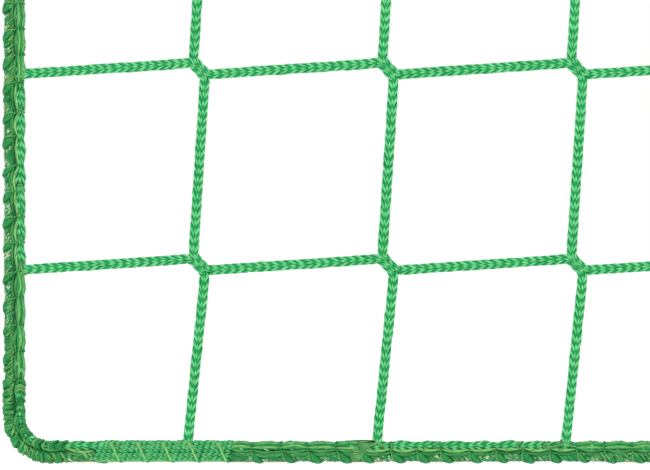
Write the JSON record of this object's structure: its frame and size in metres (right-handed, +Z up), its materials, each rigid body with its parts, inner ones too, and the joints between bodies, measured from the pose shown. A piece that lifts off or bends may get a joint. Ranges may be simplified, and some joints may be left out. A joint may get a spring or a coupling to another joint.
{
  "type": "knotless tennis netting panel with a border rope",
  "caption": "Green knotless braided net with square meshes, its selvedge bound to a border rope with a spiral thread along all four rounded-corner edges.",
  "frame": {"origin": "middle of the head border, between its two strands, where the net is hung", "axes": "+X along the head border, to the right seen from the front; +Y through the thickness, away from the viewer; +Z up, from the foot border to the head border"},
  "size_m": [0.534, 0.0036, 0.3224],
  "materials": {
    "netting": "green polypropylene multifilament braid, knitted, soft sheen",
    "rope": "dark green glossy polypropylene multifilament rope, loosely twisted",
    "thread": "green multifilament binding thread, glossy, with paler yellow-green runs"
  },
  "bodies": {
    "head": {"head_rope": "rope", "head_selvedge": "netting", "head_binding": "thread", "head_down_legs": "netting", "head_left_rope": "rope", "head_right_rope": "rope", "head_selvedges": "netting", "head_bindings": "thread"},
    "band_1": {"row_1_joints": "netting", "row_1_cross_legs": "netting", "row_1_down_legs": "netting", "row_1_left_rope": "rope", "row_1_right_rope": "rope", "row_1_selvedges": "netting", "row_1_bindings": "thread"},
    "band_2": {"row_2_joints": "netting", "row_2_cross_legs": "netting", "row_2_down_legs": "netting", "row_2_left_rope": "rope", "row_2_right_rope": "rope", "row_2_selvedges": "netting", "row_2_bindings": "thread"},
    "band_3": {"row_3_joints": "netting", "row_3_cross_legs": "netting", "row_3_down_legs": "netting", "row_3_left_rope": "rope", "row_3_right_rope": "rope", "row_3_selvedges": "netting", "row_3_bindings": "thread"},
    "band_4": {"row_4_joints": "netting", "row_4_cross_legs": "netting", "row_4_down_legs": "netting", "row_4_left_rope": "rope", "row_4_right_rope": "rope", "row_4_selvedges": "netting", "row_4_bindings": "thread"},
    "band_5": {"row_5_joints": "netting", "row_5_cross_legs": "netting", "row_5_down_legs": "netting", "row_5_left_rope": "rope", "row_5_right_rope": "rope", "row_5_selvedges": "netting", "row_5_bindings": "thread"},
    "band_6": {"row_6_joints": "netting", "row_6_cross_legs": "netting", "row_6_down_legs": "netting", "row_6_left_rope": "rope", "row_6_right_rope": "rope", "row_6_selvedges": "netting", "row_6_bindings": "thread", "foot_rope": "rope", "foot_selvedge": "netting", "foot_binding": "thread"}
  },
  "joints": [
    {"name": "fold_1", "type": "hinge", "parent": "head", "child": "band_1", "pos_m": [0, 0, -0.0437], "axis": [1, 0, 0], "range_deg": [-45, 45]},
    {"name": "fold_2", "type": "hinge", "parent": "band_1", "child": "band_2", "pos_m": [0, 0, -0.0895], "axis": [1, 0, 0], "range_deg": [-45, 45]},
    {"name": "fold_3", "type": "hinge", "parent": "band_2", "child": "band_3", "pos_m": [0, 0, -0.1353], "axis": [1, 0, 0], "range_deg": [-45, 45]},
    {"name": "fold_4", "type": "hinge", "parent": "band_3", "child": "band_4", "pos_m": [0, 0, -0.1811], "axis": [1, 0, 0], "range_deg": [-45, 45]},
    {"name": "fold_5", "type": "hinge", "parent": "band_4", "child": "band_5", "pos_m": [0, 0, -0.2269], "axis": [1, 0, 0], "range_deg": [-45, 45]},
    {"name": "fold_6", "type": "hinge", "parent": "band_5", "child": "band_6", "pos_m": [0, 0, -0.2727], "axis": [1, 0, 0], "range_deg": [-45, 45]}
  ]
}
